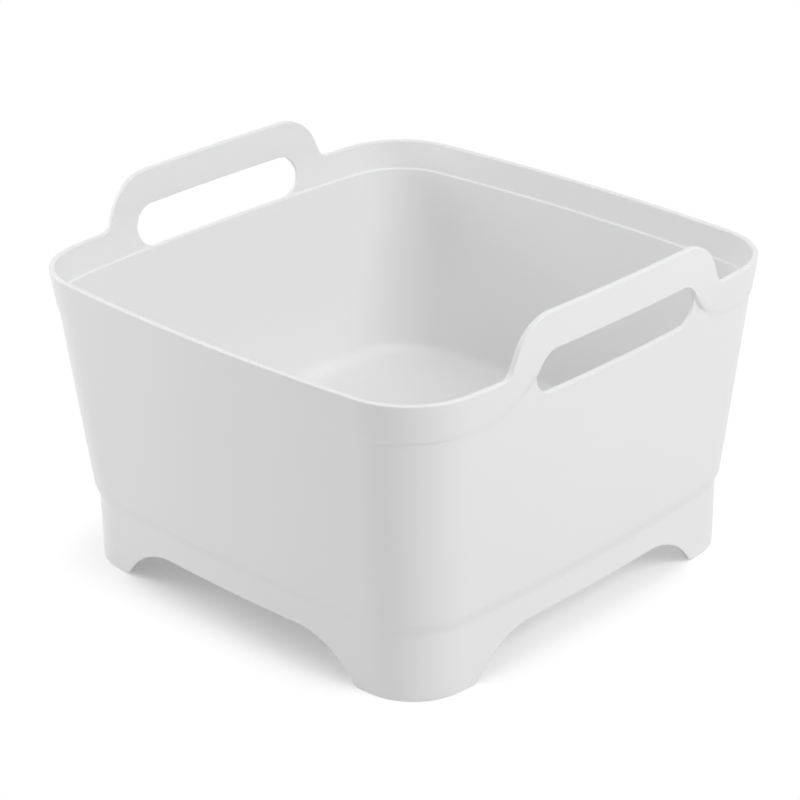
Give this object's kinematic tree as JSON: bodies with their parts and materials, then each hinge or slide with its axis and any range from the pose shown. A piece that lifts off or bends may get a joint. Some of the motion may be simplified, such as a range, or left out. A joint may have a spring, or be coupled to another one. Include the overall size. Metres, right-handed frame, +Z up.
{
  "type": "draining wash basin",
  "caption": "Square moulded plastic wash basin with raised carry handles, arched corner feet and a lift-and-turn drain plug over a strainer in its floor.",
  "frame": {"origin": "on the table plane under the middle of the tub", "axes": "+Z up, +X and -X through the two handles"},
  "size_m": [0.304, 0.304, 0.2015],
  "materials": {
    "tub_plastic": "satin white moulded polypropylene with a very fine even grain",
    "strainer_plastic": "satin pale grey moulded plastic",
    "plug_plastic": "satin mid grey moulded plastic",
    "grip_rubber": "matt dark grey soft-touch rubber",
    "seal_rubber": "matt grey silicone"
  },
  "bodies": {
    "basin": {"tub": "tub_plastic", "drain_gasket": "seal_rubber", "strainer_cup": "strainer_plastic", "lock_ring": "strainer_plastic"},
    "plug": {"plug_disc": "plug_plastic", "plug_seal": "seal_rubber"},
    "turn_key": {"plug_stem": "plug_plastic", "plug_grip": "grip_rubber"}
  },
  "joints": [
    {"name": "plug_lift", "type": "slide", "parent": "basin", "child": "plug", "axis": [0, 0, 1], "range_m": [0, 0.045]},
    {"name": "plug_turn", "type": "hinge", "parent": "plug", "child": "turn_key", "pos_m": [0, 0, 0.04], "axis": [0, 0, 1], "range_deg": [0, 90]}
  ]
}
